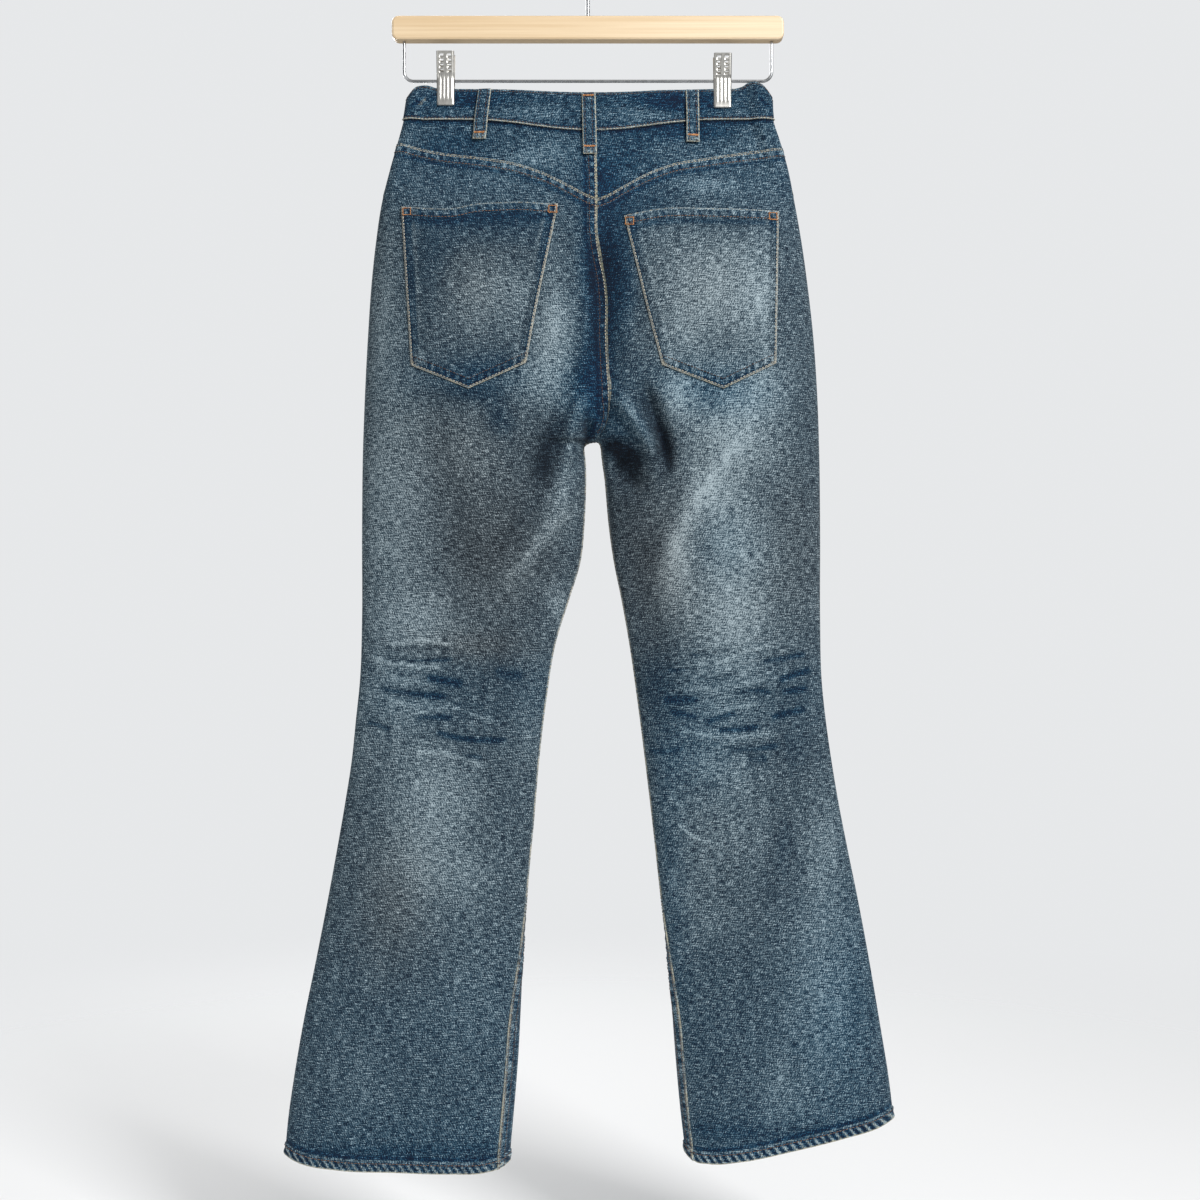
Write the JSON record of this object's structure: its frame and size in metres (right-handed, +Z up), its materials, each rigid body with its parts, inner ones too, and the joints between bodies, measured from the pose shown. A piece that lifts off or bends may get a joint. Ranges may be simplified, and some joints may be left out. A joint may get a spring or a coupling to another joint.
{
  "type": "jeans on a clip hanger",
  "caption": "Bootcut denim trousers, seen from behind, hung by the waistband from a wooden bar hanger with a wire frame and sliding metal clips.",
  "frame": {"origin": "inside top of the hanger's hook, where the rail carries it", "axes": "+Z up, the back of the jeans faces -Y, the wearer's left leg lies towards -X"},
  "size_m": [0.5982, 0.0662, 1.2112],
  "materials": {
    "denim": "worn mid-blue denim, right-hand twill",
    "button": "satin",
    "wood": "clear satin lacquer",
    "steel": "polished wire",
    "nickel": "satin nickel plate"
  },
  "bodies": {
    "root": {"clip_left_inner_jaw": "nickel", "clip_left_outer_jaw": "nickel", "clip_left_spring": "steel", "clip_right_inner_jaw": "nickel", "clip_right_outer_jaw": "nickel", "clip_right_spring": "steel", "hanger_bar": "wood", "hanger_hook": "steel", "hanger_wire": "steel", "left_back": "denim", "left_back_pocket": "denim", "left_front": "denim", "left_pocket_facing": "denim", "left_yoke": "denim", "loop_back_centre": "denim", "loop_back_left": "denim", "loop_back_right": "denim", "loop_front_left": "denim", "loop_front_right": "denim", "right_back": "denim", "right_back_pocket": "denim", "right_front": "denim", "right_pocket_facing": "denim", "right_yoke": "denim", "waist_button": "button", "waistband": "denim"}
  },
  "joints": []
}
